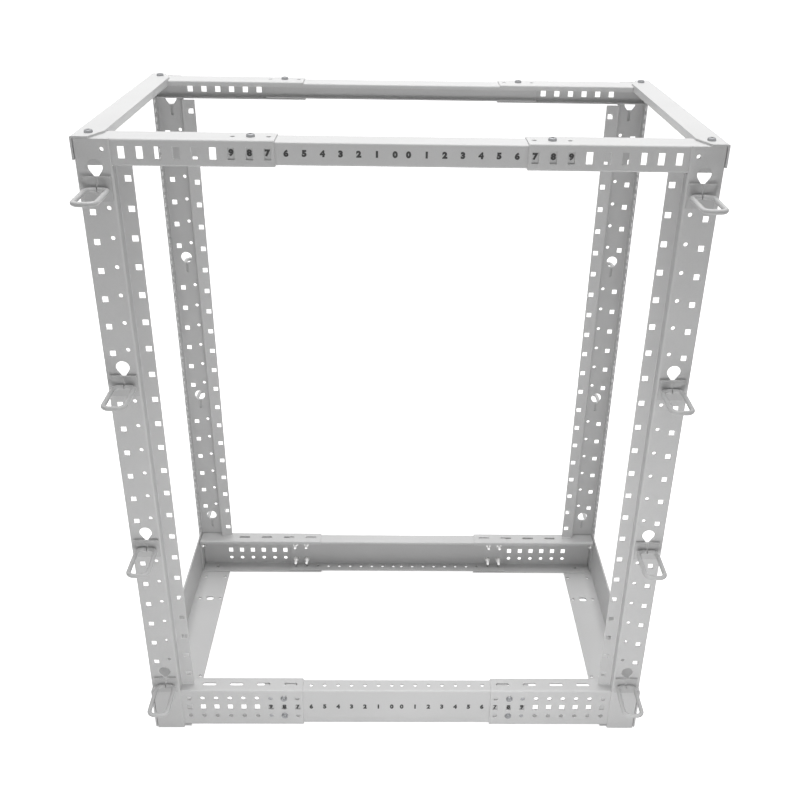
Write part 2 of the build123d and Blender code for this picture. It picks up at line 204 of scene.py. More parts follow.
class RackFinishSettings(bpy.types.PropertyGroup):
    coat: StringProperty(name="Frame Colour", description="sRGB hex of the frame's coat", default="#CCCCCC")
    ring: StringProperty(name="Ring Colour", description="sRGB hex of the cable rings' coat",
                         default="#BFBFBF")
    # The heads' and cups' zinc is painted darker than plain zinc, as painted shade for the dark upper wall
    # inside each cup washer
    zinc: StringProperty(name="Zinc Colour", description="sRGB hex of the plated heads and cups",
                         default="#9A9B9D")
    # The nuts' and threads' zinc is painted near white, as a painted highlight on the bolt ends inside the
    # rails
    nut_zinc: StringProperty(name="Nut Colour", description="sRGB hex of the plated nuts and threads",
                             default="#F0F0EF")
    ink: StringProperty(name="Ink Colour", description="sRGB hex of the printed numbers",
                        default="#262626")
    peel: FloatProperty(name="Orange Peel", description="Size of the coat's ripples",
                        default=1.6 * MM, unit="LENGTH")
    # The band along each edge that is painted lighter, for the thin coat and as a painted highlight
    worn_edge: FloatProperty(name="Edge Width", description="How wide the thin coat along an edge is",
                             default=0.9 * MM, unit="LENGTH")


class RackStageSettings(bpy.types.PropertyGroup):
    camera: FloatVectorProperty(name="Camera", description="Where the photograph was taken from",
                                default=(-0.00428, -1.61443, 1.42882), subtype="TRANSLATION")
    aim: FloatVectorProperty(name="Camera Angles", description="How the camera is turned",
                             default=tuple(math.radians(a) for a in (62.2147, -0.9285, -0.7942)),
                             subtype="EULER")
    lens: FloatProperty(name="Lens", description="Focal length in millimetres", default=43.8455)
    shift: FloatVectorProperty(name="Shift", description="How far the picture's middle is off the axis",
                               size=2, default=(-0.02022, -0.0006))
    floor: StringProperty(name="Floor Colour", description="sRGB hex of the floor", default="#D6D6D6")
    floor_glow: FloatProperty(name="Floor Glow", description="White that the camera sees on the floor",
                              default=0.9)
    floor_size: FloatProperty(name="Floor Size", description="Side of the floor", default=60.0,
                              unit="LENGTH")
    sky: FloatProperty(name="Sky", description="Strength of the even light all round", default=0.24)
    top_light: FloatProperty(name="Top Light", description="Power of the softbox overhead in watts",
                             default=28.0)
    high_light: FloatProperty(name="High Light", description="Power of the high ceiling lamp in watts",
                              default=235.0)
    side_light: FloatProperty(name="Side Light", default=2.5,
                              description="Power of the softbox at each end in watts")
    back_light: FloatProperty(name="Back Light", description="Power of the low softbox behind in watts",
                              default=5.0)
    near_foot_light: FloatProperty(name="Near Foot Light", default=6.84,
                                   description="Power of the lamp on the floor before the rack in watts")
    far_foot_light: FloatProperty(name="Far Foot Light", default=2.16,
                                  description="Power of the lamp on the floor behind the rack in watts")


def socket(sockets, key):
    """The socket in this place, or the one in use that has this name."""
    if isinstance(key, int):
        return sockets[key]
    return next(each for each in sockets if each.name == key and each.enabled)


def add(tree, kind, values=None, links=None, **settings):
    """One node: its settings, the values of its inputs, and its links. A link is a (node, output) pair,
    or else a number for that input."""
    made = tree.nodes.new(kind)
    for key, value in settings.items():
        setattr(made, key, value)
    for key, value in (values or {}).items():
        socket(made.inputs, key).default_value = value
    for key, link in (links or {}).items():
        if isinstance(link, tuple):
            tree.links.new(socket(link[0].outputs, link[1]), socket(made.inputs, key))
        else:
            socket(made.inputs, key).default_value = link
    return made


def new_material(name):
    material = bpy.data.materials.new(name)
    material.use_nodes = True
    material.node_tree.nodes.clear()
    return material, material.node_tree


def powder_coat(name, colour, finish):
    """Satin polyester powder coat on steel sheet: it scatters light evenly, with a soft broad gloss
    and the fine ripples of orange peel. Along the cut edges the coat is thin and smoother, and its colour
    is painted lighter there, partly for the thin coat and partly as a painted highlight."""
    material, tree = new_material(name)
    place = add(tree, "ShaderNodeTexCoord")
    here = (place, "Object")
    # A batch of sheet takes the powder a little unevenly over hand-sized areas
    patches = add(tree, "ShaderNodeTexNoise", {"Scale": 1 / 0.16, "Detail": 2.0}, {"Vector": here})
    # Grains of powder are 0.05 mm across, and are drawn at 0.8 mm to show at all
    grain = add(tree, "ShaderNodeTexNoise", {"Scale": 1 / (0.8 * MM), "Detail": 1.0}, {"Vector": here})
    peel = add(tree, "ShaderNodeTexNoise", {"Scale": 1 / finish.peel, "Detail": 2.0, "Roughness": 0.4},
               {"Vector": here})
    base = linear(colour)
    cloud = add(tree, "ShaderNodeMix", {"A": shade(base, DARK_PATCH), "B": shade(base, LIGHT_PATCH)},
                {"Factor": (patches, "Fac")}, data_type="RGBA")
    speck = add(tree, "ShaderNodeMapRange", {"From Min": 0.3, "From Max": 0.7, "To Min": 0.965,
                                             "To Max": 1.035}, {"Value": (grain, "Fac")})
    tone = add(tree, "ShaderNodeVectorMath", None, {0: (cloud, "Result"), "Scale": (speck, "Result")},
               operation="SCALE")
    rounded = add(tree, "ShaderNodeBevel", {"Radius": finish.worn_edge}, samples=4)
    flat = add(tree, "ShaderNodeNewGeometry")
    near = add(tree, "ShaderNodeVectorMath", None, {0: (rounded, "Normal"), 1: (flat, "Normal")},
               operation="DOT_PRODUCT")
    edge = add(tree, "ShaderNodeMapRange", {"From Min": 0.995, "From Max": 0.8, "To Min": 0.0,
                                            "To Max": 1.0}, {"Value": (near, "Value")})
    # Cut edges are painted lighter: partly the thin coat, partly a painted highlight along each edge
    thin_coat_and_highlight = add(tree, "ShaderNodeMix", {"B": shade(base, EDGE_COAT_AND_HIGHLIGHT)},
               {"Factor": (edge, "Result"), "A": (tone, "Vector")}, data_type="RGBA")
    gloss = add(tree, "ShaderNodeMapRange", {"To Min": 0.40, "To Max": 0.52}, {"Value": (peel, "Fac")})
    shine = add(tree, "ShaderNodeMix", {"B": 0.3}, {"Factor": (edge, "Result"), "A": (gloss, "Result")},
                data_type="FLOAT")
    ripple = add(tree, "ShaderNodeBump", {"Strength": 0.35, "Distance": 0.06 * MM},
                 {"Height": (peel, "Fac"), "Normal": (rounded, "Normal")})
    surface = add(tree, "ShaderNodeBsdfPrincipled", {"IOR": 1.5},
                  {"Base Color": (thin_coat_and_highlight, "Result"), "Roughness": (shine, "Result"),
                   "Normal": (ripple, "Normal")})
    add(tree, "ShaderNodeOutputMaterial", None, {"Surface": (surface, "BSDF")})
    return material


def zinc_plate(name, colour):
    """Bright zinc on turned steel: a soft metal sheen with fine turning marks, and a little dull
    where tools have rubbed it."""
    material, tree = new_material(name)
    place = add(tree, "ShaderNodeTexCoord")
    here = (place, "Object")
    clouds = add(tree, "ShaderNodeTexNoise", {"Scale": 1 / (4 * MM), "Detail": 3.0}, {"Vector": here})
    # Turning marks are 0.1 mm apart and are drawn at 0.4 mm
    marks = add(tree, "ShaderNodeTexNoise", {"Scale": 1 / (0.4 * MM), "Detail": 1.0}, {"Vector": here})
    base = linear(colour)
    tone = add(tree, "ShaderNodeMix", {"A": shade(base, RUBBED_ZINC), "B": base},
               {"Factor": (clouds, "Fac")}, data_type="RGBA")
    gloss = add(tree, "ShaderNodeMapRange", {"To Min": 0.34, "To Max": 0.52}, {"Value": (clouds, "Fac")})
    bump = add(tree, "ShaderNodeBump", {"Strength": 0.25, "Distance": 0.03 * MM},
               {"Height": (marks, "Fac")})
    surface = add(tree, "ShaderNodeBsdfPrincipled", {"Metallic": 1.0},
                  {"Base Color": (tone, "Result"), "Roughness": (gloss, "Result"),
                   "Normal": (bump, "Normal")})
    add(tree, "ShaderNodeOutputMaterial", None, {"Surface": (surface, "BSDF")})
    return material


def screen_ink(name, colour):
    """Screen printed ink: flat black, slightly glossier than the coat, thin in small spots."""
    material, tree = new_material(name)
    place = add(tree, "ShaderNodeTexCoord")
    spots = add(tree, "ShaderNodeTexNoise", {"Scale": 1 / (0.9 * MM), "Detail": 2.0},
                {"Vector": (place, "Object")})
    base = linear(colour)
    thin = add(tree, "ShaderNodeMapRange", {"From Min": 0.5, "From Max": 0.8}, {"Value": (spots, "Fac")})
    tone = add(tree, "ShaderNodeMix", {"A": base, "B": shade(base, *INK_WEAR)},
               {"Factor": (thin, "Result")}, data_type="RGBA")
    gloss = add(tree, "ShaderNodeMapRange", {"To Min": 0.45, "To Max": 0.6}, {"Value": (spots, "Fac")})
    bump = add(tree, "ShaderNodeBump", {"Strength": 0.2, "Distance": 0.02 * MM}, {"Height": (spots, "Fac")})
    surface = add(tree, "ShaderNodeBsdfPrincipled", {"IOR": 1.48},
                  {"Base Color": (tone, "Result"), "Roughness": (gloss, "Result"),
                   "Normal": (bump, "Normal")})
    add(tree, "ShaderNodeOutputMaterial", None, {"Surface": (surface, "BSDF")})
    return material


def seen_ray(tree):
    """1 for what the camera sees, also in metal and through glass, and 0 for what only lights."""
    path = add(tree, "ShaderNodeLightPath")
    seen = add(tree, "ShaderNodeMath", None, {0: (path, "Is Camera Ray"), 1: (path, "Is Glossy Ray")},
               operation="MAXIMUM")
    seen = add(tree, "ShaderNodeMath", None, {0: (seen, 0), 1: (path, "Is Transmission Ray")},
               operation="MAXIMUM")
    return seen, 0


def studio_floor(name, colour, glow):
    """Matt white paper: it scatters light evenly and keeps soft shadows, with a faint tooth."""
    material, tree = new_material(name)
    place = add(tree, "ShaderNodeTexCoord")
    # Paper fibre is far too fine to see, so the tooth is drawn at 6 mm
    tooth = add(tree, "ShaderNodeTexNoise", {"Scale": 1 / (6 * MM), "Detail": 2.0},
                {"Vector": (place, "Object")})
    base = linear(colour)
    tone = add(tree, "ShaderNodeMix", {"A": base, "B": shade(base, FIBRE)},
               {"Factor": (tooth, "Fac")}, data_type="RGBA")
    paper = add(tree, "ShaderNodeBsdfDiffuse", {"Roughness": 0.9}, {"Color": (tone, "Result")})
    shown = add(tree, "ShaderNodeMath", {1: glow}, {0: seen_ray(tree)}, operation="MULTIPLY")
    white = add(tree, "ShaderNodeEmission", {"Color": (1, 1, 1, 1)}, {"Strength": (shown, 0)})
    both = add(tree, "ShaderNodeAddShader", None, {0: (paper, 0), 1: (white, 0)})
    add(tree, "ShaderNodeOutputMaterial", None, {"Surface": (both, 0)})
    return material


# Each row of a turned profile: shares of the named sizes for its radius, and for its height above the
# seat, and 1 where the row is six sided instead of round.
HEAD = [
    ({}, {"Head Seat": 1, "Head Height": 0.3}, 0),
    ({"Socket Radius": 1}, {"Head Seat": 1, "Head Height": 0.3}, 1),
    ({"Socket Radius": 1}, {"Head Seat": 1, "Head Height": 1}, 1),
    ({"Head Radius": 0.66}, {"Head Seat": 1, "Head Height": 1}, 0),
    ({"Head Radius": 0.88}, {"Head Seat": 1, "Head Height": 0.86}, 0),
    ({"Head Radius": 0.97}, {"Head Seat": 1, "Head Height": 0.55}, 0),
    ({"Head Radius": 1}, {"Head Seat": 1, "Head Height": 0.2}, 0),
    ({"Head Radius": 0.98}, {"Head Seat": 1}, 0),
    ({}, {"Head Seat": 1}, 0),
]
NUT = [
    ({"Shank Radius": 0.9}, {"Nut Place": -1}, 0),
    ({"Nut Radius": 0.85}, {"Nut Place": -1}, 0),
    ({"Nut Radius": 1}, {"Nut Place": -1, "Nut Height": -0.14}, 1),
    ({"Nut Radius": 1}, {"Nut Place": -1, "Nut Height": -0.86}, 1),
    ({"Nut Radius": 0.85}, {"Nut Place": -1, "Nut Height": -1}, 0),
    ({"Shank Radius": 1.1}, {"Nut Place": -1, "Nut Height": -1}, 0),
    ({"Shank Radius": 0.9}, {"Nut Place": -1, "Nut Height": -0.9}, 0),
    ({"Shank Radius": 0.9}, {"Nut Place": -1}, 0),
]
CUP_FLOOR = 0.15               # where the head sits, as a share of the cup's height
CUP = [
    ({"Cup Radius": 1}, {}, 0),
    ({"Cup Radius": 0.98}, {"Cup Height": 0.5}, 0),
    ({"Cup Radius": 0.9}, {"Cup Height": 0.95}, 0),
    ({"Cup Radius": 0.82}, {"Cup Height": 1}, 0),
    ({"Shank Radius": 1.15}, {"Cup Height": CUP_FLOOR}, 0),
    ({"Shank Radius": 1.15}, {}, 0),
    ({"Cup Radius": 1}, {}, 0),
]
SIZES = ("Head Radius", "Head Height", "Head Seat", "Socket Radius", "Shank Radius", "Shank Length",
         "Shank Start", "Thread Pitch", "Nut Radius", "Nut Height", "Nut Place", "Cup Radius",
         "Cup Height")
SEAM = 0.01 * MM               # points of a turned surface this close are one point
SPIN_SEED = 5
SHARP_EDGE = math.radians(35)
THREAD_DEPTH = 0.61            # depth of a metric thread as a share of its pitch


def shares(tree, row, sizes, table):
    """The length that each row of a profile gets, as the sum of its shares of the named sizes. A share
    of "" is a plain number."""
    total = None
    for name in sorted({key for entry in table for key in entry}):
        share = add(tree, "GeometryNodeIndexSwitch", None, {0: row}, data_type="FLOAT")
        while len(share.index_switch_items) < len(table):
            share.index_switch_items.new()
        for place, entry in enumerate(table):
            share.inputs[place + 1].default_value = entry.get(name, 0)
        links = {0: (share, 0), 1: (sizes, name) if name else 1.0}
        if total:
            links[2] = (total, 0)
        total = add(tree, "ShaderNodeMath", None, links, operation="MULTIPLY_ADD" if total else "MULTIPLY")
    return total, 0


def turned(tree, sides, rows, profile):
    """A surface turned about Z, closed where the profile's ends meet the axis or each other. profile
    takes the row's number and gives radius, height and how six sided the row is."""
    ring = add(tree, "FunctionNodeIntegerMath", {1: 1}, {0: sides}, operation="ADD")
    grid = add(tree, "GeometryNodeMeshGrid", None, {"Vertices X": rows, "Vertices Y": (ring, 0)})
    index = add(tree, "GeometryNodeInputIndex")
    row = add(tree, "FunctionNodeIntegerMath", None, {0: (index, 0), 1: (ring, 0)},
              operation="DIVIDE_FLOOR")
    step = add(tree, "FunctionNodeIntegerMath", None, {0: (index, 0), 1: (ring, 0)}, operation="MODULO")
    turn = add(tree, "ShaderNodeMath", None, {0: (step, 0), 1: sides}, operation="DIVIDE")
    angle = add(tree, "ShaderNodeMath", {1: math.tau}, {0: (turn, 0)}, operation="MULTIPLY")
    radius, height, six = profile((row, 0))
    # Across a hexagon the radius falls to that of its flats, and is whole again at each corner
    sixth = add(tree, "ShaderNodeMath", {1: math.tau / 6}, {0: (angle, 0)}, operation="MODULO")
    off = add(tree, "ShaderNodeMath", {1: math.tau / 12}, {0: (sixth, 0)}, operation="SUBTRACT")
    cosine = add(tree, "ShaderNodeMath", None, {0: (off, 0)}, operation="COSINE")
    flat = add(tree, "ShaderNodeMath", {0: math.cos(math.tau / 12)}, {1: (cosine, 0)}, operation="DIVIDE")
    less = add(tree, "ShaderNodeMath", {1: 1.0}, {0: (flat, 0)}, operation="SUBTRACT")
    factor = add(tree, "ShaderNodeMath", {2: 1.0}, {0: (less, 0), 1: six}, operation="MULTIPLY_ADD")
    reach = add(tree, "ShaderNodeMath", None, {0: radius, 1: (factor, 0)}, operation="MULTIPLY")
    along = add(tree, "ShaderNodeMath", None, {0: (angle, 0)}, operation="COSINE")
    across = add(tree, "ShaderNodeMath", None, {0: (angle, 0)}, operation="SINE")
    x = add(tree, "ShaderNodeMath", None, {0: (reach, 0), 1: (along, 0)}, operation="MULTIPLY")
    y = add(tree, "ShaderNodeMath", None, {0: (reach, 0), 1: (across, 0)}, operation="MULTIPLY")
    place = add(tree, "ShaderNodeCombineXYZ", None, {0: (x, 0), 1: (y, 0), 2: height})
    moved = add(tree, "GeometryNodeSetPosition", None, {"Geometry": (grid, 0), "Position": (place, 0)})
    return add(tree, "GeometryNodeMergeByDistance", {"Distance": SEAM}, {"Geometry": (moved, 0)})


def new_tree(name, lengths, counts, slots):
    """An empty tree with its named inputs, and the node that gives them."""
    tree = bpy.data.node_groups.new(name, "GeometryNodeTree")
    for kind, keys in (("Geometry", ["Geometry"]), ("Float", lengths), ("Int", counts),
                       ("Material", slots)):
        for key in keys:
            tree.interface.new_socket(key, in_out="INPUT", socket_type=f"NodeSocket{kind}")
    tree.interface.new_socket("Geometry", in_out="OUTPUT", socket_type="NodeSocketGeometry")
    return tree, add(tree, "NodeGroupInput")


def set_out(tree, sizes, piece):
    """Sets the piece on every point, turned as the point says."""
    turn = add(tree, "GeometryNodeInputNamedAttribute", {"Name": "turn"}, data_type="FLOAT_VECTOR")
    facing = add(tree, "FunctionNodeEulerToRotation", None, {0: (turn, 0)})
    return add(tree, "GeometryNodeInstanceOnPoints", None,
               {"Points": (sizes, "Geometry"), "Instance": (piece, 0), "Rotation": (facing, 0)})


def painted(tree, sizes, pieces):
    """Makes the pieces real and gives them their material."""
    real = add(tree, "GeometryNodeRealizeInstances", None, {"Geometry": (pieces, 0)})
    return add(tree, "GeometryNodeSetMaterial", None,
               {"Geometry": (real, 0), "Material": (sizes, "Material")})


def fastener_tree(name, parts):
    """Builds the tree that sets one fastener on every point. Its +Z points out of the sheet and its
    seat is at 0. parts is any of "head", "thread", "nut" and "cup"."""
    tree, sizes = new_tree(name, SIZES, ("Sides", "Seed"), ("Material", "Nut Material"))
    sides = (sizes, "Sides")
    whole = add(tree, "GeometryNodeJoinGeometry")
    bare = add(tree, "GeometryNodeJoinGeometry")
    for part, table in (("head", HEAD), ("nut", NUT), ("cup", CUP)):
        if part not in parts:
            continue
        made = turned(tree, sides, len(table), lambda row: (
            shares(tree, row, sizes, [entry[0] for entry in table]),
            shares(tree, row, sizes, [entry[1] for entry in table]),
            shares(tree, row, sizes, [{"": entry[2]} for entry in table])))
        tree.links.new(made.outputs[0], (bare if part == "nut" else whole).inputs[0])
    if "thread" in parts:
        # Two rows a turn, crest and root, and one more at each end that closes on the axis
        turns = add(tree, "ShaderNodeMath", None, {0: (sizes, "Shank Length"), 1: (sizes, "Thread Pitch")},
                    operation="DIVIDE")
        whole_turns = add(tree, "FunctionNodeFloatToInt", None, {0: (turns, 0)})
        rows = add(tree, "FunctionNodeIntegerMath", {1: 2, 2: 3}, {0: (whole_turns, 0)},
                   operation="MULTIPLY_ADD")
        spread = add(tree, "FunctionNodeIntegerMath", {1: 3}, {0: (rows, 0)}, operation="SUBTRACT")

        def thread(row):
            before = add(tree, "FunctionNodeIntegerMath", {1: 1}, {0: row}, operation="SUBTRACT")
            part_way = add(tree, "ShaderNodeMath", None, {0: (before, 0), 1: (spread, 0)},
                           operation="DIVIDE", use_clamp=True)
            depth = add(tree, "ShaderNodeMath", None, {0: (part_way, 0), 1: (sizes, "Shank Length")},
                        operation="MULTIPLY")
            height = add(tree, "ShaderNodeMath", None, {0: (sizes, "Shank Start"), 1: (depth, 0)},
                         operation="SUBTRACT")
            odd = add(tree, "FunctionNodeIntegerMath", {1: 2}, {0: row}, operation="MODULO")
            cut = add(tree, "ShaderNodeMath", {1: THREAD_DEPTH}, {0: (sizes, "Thread Pitch")},
                      operation="MULTIPLY")
            deep = add(tree, "ShaderNodeMath", None, {0: (cut, 0), 1: (odd, 0)}, operation="MULTIPLY")
            crest = add(tree, "ShaderNodeMath", None, {0: (sizes, "Shank Radius"), 1: (deep, 0)},
                        operation="SUBTRACT")
            last = add(tree, "FunctionNodeIntegerMath", {1: 1}, {0: (rows, 0)}, operation="SUBTRACT")
            left = add(tree, "FunctionNodeIntegerMath", None, {0: (last, 0), 1: row}, operation="SUBTRACT")
            ends = add(tree, "FunctionNodeIntegerMath", None, {0: row, 1: (left, 0)}, operation="MINIMUM")
            inside = add(tree, "FunctionNodeIntegerMath", {1: 1}, {0: (ends, 0)}, operation="MINIMUM")
            radius = add(tree, "ShaderNodeMath", None, {0: (crest, 0), 1: (inside, 0)},
                         operation="MULTIPLY")
            return (radius, 0), (height, 0), 0.0

        made = turned(tree, sides, (rows, 0), thread)
        tree.links.new(made.outputs[0], bare.inputs[0])
    marked = add(tree, "GeometryNodeStoreNamedAttribute", {"Name": "nut", "Value": True},
                 {"Geometry": (bare, 0)}, data_type="BOOLEAN", domain="FACE")
    tree.links.new(marked.outputs[0], whole.inputs[0])
    # Each one stops at its own angle when it is screwed tight
    stop = add(tree, "FunctionNodeRandomValue", {"Min": (0, 0, 0), "Max": (0, 0, math.tau)},
               {"Seed": (sizes, "Seed")}, data_type="FLOAT_VECTOR")
    stop_turn = add(tree, "FunctionNodeEulerToRotation", None, {0: (stop, 0)})
    spun = add(tree, "GeometryNodeRotateInstances", {"Local Space": True},
               {"Instances": (set_out(tree, sizes, whole), 0), "Rotation": (stop_turn, 0)})
    of_nut = add(tree, "GeometryNodeInputNamedAttribute", {"Name": "nut"}, data_type="BOOLEAN")
    plated = add(tree, "GeometryNodeSetMaterial", None,
                 {"Geometry": (painted(tree, sizes, spun), 0), "Selection": (of_nut, 0),
                  "Material": (sizes, "Nut Material")})
    add(tree, "NodeGroupOutput", None, {"Geometry": (plated, 0)})
    return tree


# The corners of the ring's path and of the plate's section, as shares of the named sizes
RING_PATH = [({"Gap": 0.5}, {"Bar": 1}), ({"Half Width": 1}, {"Bar": 1}),
             ({"Half Width": 1}, {"Reach": 1}), ({"Half Width": -1}, {"Reach": 1}),
             ({"Half Width": -1}, {"Bar": 1}), ({"Gap": -0.5}, {"Bar": 1})]
PLATE_PATH = [({"Sheet": 0.5}, {"Plate Height": -1}), ({"Sheet": 0.5}, {"Sheet": -0.5}),
              ({"Lip": 1}, {"Sheet": -0.5})]
RIB_PATH = [({"Sheet": 1}, {"Sheet": -1}), ({"Sheet": 1}, {"Drop": -1})]
RING_SIZES = ("Half Width", "Reach", "Bar", "Drop", "Gap", "Rod Radius", "Corner", "Sheet", "Plate Width",
              "Plate Height", "Lip", "Rib")
BEND_STEPS, FOLD_STEPS = 7, 4  # in each bend of the rod, and in the plate's fold
ROD_SIDES, RIB_SIDES = 14, 10


def bent_path(tree, sizes, corners, flat):
    """A curve through the corners, level if flat, or else standing in the plane of Y and Z."""
    line = add(tree, "GeometryNodeMeshLine", {"Count": len(corners)})
    index = add(tree, "GeometryNodeInputIndex")
    first = shares(tree, (index, 0), sizes, [corner[0] for corner in corners])
    second = shares(tree, (index, 0), sizes, [corner[1] for corner in corners])
    ways = {0: first, 1: second} if flat else {1: first, 2: second}
    place = add(tree, "ShaderNodeCombineXYZ", None, ways)
    moved = add(tree, "GeometryNodeSetPosition", None, {"Geometry": (line, 0), "Position": (place, 0)})
    return add(tree, "GeometryNodeMeshToCurve", None, {"Mesh": (moved, 0)})


def ring_tree(name):
    """Builds the tree that sets a cable ring on every point. The point is the middle of the plate's top
    edge on the post's face, +Y points out of the post and +Z up."""
    tree, sizes = new_tree(name, RING_SIZES, (), ("Material",))
    whole = add(tree, "GeometryNodeJoinGeometry")

    path = bent_path(tree, sizes, RING_PATH, True)
    bent = add(tree, "GeometryNodeFilletCurve", {"Count": BEND_STEPS},
               {"Curve": (path, 0), "Radius": (sizes, "Corner")}, mode="POLY")
    circle = add(tree, "GeometryNodeCurvePrimitiveCircle", {"Resolution": ROD_SIDES},
                 {"Radius": (sizes, "Rod Radius")})
    rod = add(tree, "GeometryNodeCurveToMesh", {"Fill Caps": True},
              {"Curve": (bent, 0), "Profile Curve": (circle, 0)})
    down = add(tree, "ShaderNodeMath", {1: -1.0}, {0: (sizes, "Drop")}, operation="MULTIPLY")
    lower = add(tree, "ShaderNodeCombineXYZ", None, {2: (down, 0)})
    hung = add(tree, "GeometryNodeSetPosition", None, {"Geometry": (rod, 0), "Offset": (lower, 0)})

    section = bent_path(tree, sizes, PLATE_PATH, False)
    folded = add(tree, "GeometryNodeFilletCurve", {"Count": FOLD_STEPS},
                 {"Curve": (section, 0), "Radius": (sizes, "Sheet")}, mode="POLY")
    strip = add(tree, "GeometryNodeCurvePrimitiveQuadrilateral", None,
                {"Width": (sizes, "Plate Width"), "Height": (sizes, "Sheet")})
    plate = add(tree, "GeometryNodeCurveToMesh", {"Fill Caps": True},
                {"Curve": (folded, 0), "Profile Curve": (strip, 0)})

    ridge = bent_path(tree, sizes, RIB_PATH, False)
    round_bar = add(tree, "GeometryNodeCurvePrimitiveCircle", {"Resolution": RIB_SIDES},
                    {"Radius": (sizes, "Rib")})
    rib = add(tree, "GeometryNodeCurveToMesh", {"Fill Caps": True},
              {"Curve": (ridge, 0), "Profile Curve": (round_bar, 0)})
    for made in (hung, plate, rib):
        tree.links.new(made.outputs[0], whole.inputs[0])
    rings = painted(tree, sizes, set_out(tree, sizes, whole))
    add(tree, "NodeGroupOutput", None, {"Geometry": (rings, 0)})
    return tree


def grown(name, tree, places, values):
    """The plain mesh that a tree makes on places, each (place, turn), with these values."""
    points = bpy.data.meshes.new(name + "_points")
    points.from_pydata([place for place, _ in places], [], [])
    turns = points.attributes.new("turn", "FLOAT_VECTOR", "POINT")
    for item, (_, turn) in zip(turns.data, places):
        item.vector = turn
    source = bpy.data.objects.new(name + "_points", points)
    bpy.context.scene.collection.objects.link(source)
    modifier = source.modifiers.new(name, "NODES")
    modifier.node_group = tree
    for item in tree.interface.items_tree:
        if item.in_out == "INPUT" and item.name in values:
            modifier[item.identifier] = values[item.name]
    made = plain_mesh(name, source)
    close_shell(made.data)
    made.data.shade_smooth()
    made.data.set_sharp_from_angle(angle=SHARP_EDGE)
    return made


def plain_mesh(name, source):
    """A text or a modified object as a plain mesh object."""
    seen = source.evaluated_get(bpy.context.evaluated_depsgraph_get())
    mesh = bpy.data.meshes.new_from_object(seen)
    mesh.name = name
    made = bpy.data.objects.new(name, mesh)
    bpy.context.scene.collection.objects.link(made)
    data = source.data
    bpy.data.objects.remove(source)
    (bpy.data.meshes if isinstance(data, bpy.types.Mesh) else bpy.data.curves).remove(data)
    return made


def spans(mesh):
    """The lowest and highest corners of a mesh."""
    points = [vertex.co for vertex in mesh.vertices]
    return (Vector([min(p[i] for p in points) for i in range(3)]),
            Vector([max(p[i] for p in points) for i in range(3)]))


def close_shell(mesh):
    """Merges what coincides and turns every face outwards."""
    shell = bmesh.new()
    shell.from_mesh(mesh)
    bmesh.ops.remove_doubles(shell, verts=shell.verts, dist=SEAM / 2)
    bmesh.ops.recalc_face_normals(shell, faces=shell.faces)
    shell.to_mesh(mesh)
    shell.free()


PIN_LAP = 0.1 * MM             # how far a flush head's thread reaches into it
OUTWARDS = {"+Z": (0, 0, 0), "-X": (0, -math.pi / 2, 0), "+X": (0, math.pi / 2, 0),
            "-Y": (math.pi / 2, 0, 0), "+Y": (-math.pi / 2, 0, 0)}


def set_fasteners(name, body, parts, places, **changed):
    """One mesh of fasteners at places, each ((x, y, z), the axis its head points along)."""
    chosen = bpy.context.scene.rack_bolts
    sizes = {"Head Radius": chosen.head_radius, "Head Height": chosen.head_height, "Head Seat": 0.0,
             "Socket Radius": chosen.socket_radius, "Shank Radius": chosen.shank_radius,
             "Shank Length": chosen.shank_length, "Shank Start": 0.0,
             "Thread Pitch": chosen.thread_pitch, "Nut Radius": chosen.nut_radius,
             "Nut Height": chosen.nut_height, "Nut Place": BAR_SHEET + JOIN_GAP + SHEET,
             "Cup Radius": chosen.cup_radius, "Cup Height": chosen.cup_height}
    sizes.update({key.replace("_", " ").title(): value for key, value in changed.items()})
    # Heads and cups take the zinc painted darker as painted shade, nuts and threads the zinc painted near
    # white as painted highlight
    sizes.update({"Sides": chosen.sides, "Seed": SPIN_SEED, "Material": bpy.data.materials["dull_zinc"],
                  "Nut Material": bpy.data.materials["bright_zinc"]})
    turned_places = [(place, OUTWARDS[axis]) for place, axis in places]
    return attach(grown(name, fastener_tree(name, parts), turned_places, sizes), body)


class RACK_OT_coat(bpy.types.Operator):
    """Gives the sheet metal and the cable rings their powder coat"""
    bl_idname = "rack.coat"
    bl_label = "Powder Coat"

    def execute(self, context):
        finish = context.scene.rack_finish
        coats = {"frame_coat": powder_coat("satin_powder_coat", finish.coat, finish),
                 "ring_coat": powder_coat("ring_powder_coat", finish.ring, finish)}
        # Darker zinc for heads and cups, as painted shade
        zinc_plate("dull_zinc", finish.zinc)
        # Near white zinc for nuts and threads, as a painted highlight
        zinc_plate("bright_zinc", finish.nut_zinc)
        screen_ink("screen_ink", finish.ink)
        for part in frame["record"]["subparts"]:
            node = frame["nodes"][part["node"]]
            node.data.materials.clear()
            node.data.materials.append(coats[part["material_slot"]])
        return {"FINISHED"}


class RACK_OT_frame_bolts(bpy.types.Operator):
    """Bolts the crossbars to the rails and to the mounting flanges of each end frame"""
    bl_idname = "rack.frame_bolts"
    bl_label = "Crossbar Bolts"

    def execute(self, context):
        for end, way in ENDS.items():
            out = "+X" if way > 0 else "-X"
            places = []
            for side in SIDES.values():
                places.append(((way * CORNER_BOLT_X, side * CORNER_COLUMN, BAR_HIGH.z), "+Z"))
                for row in (TOP_ROW, FOOT_ROW):
                    places.append(((way * BAR_FACE, side * MOUNT_COLUMN, row), out))
            set_fasteners(f"{end}_crossbar_bolts", BODY_OF_END[end], ("head", "thread", "nut"), places)
        return {"FINISHED"}


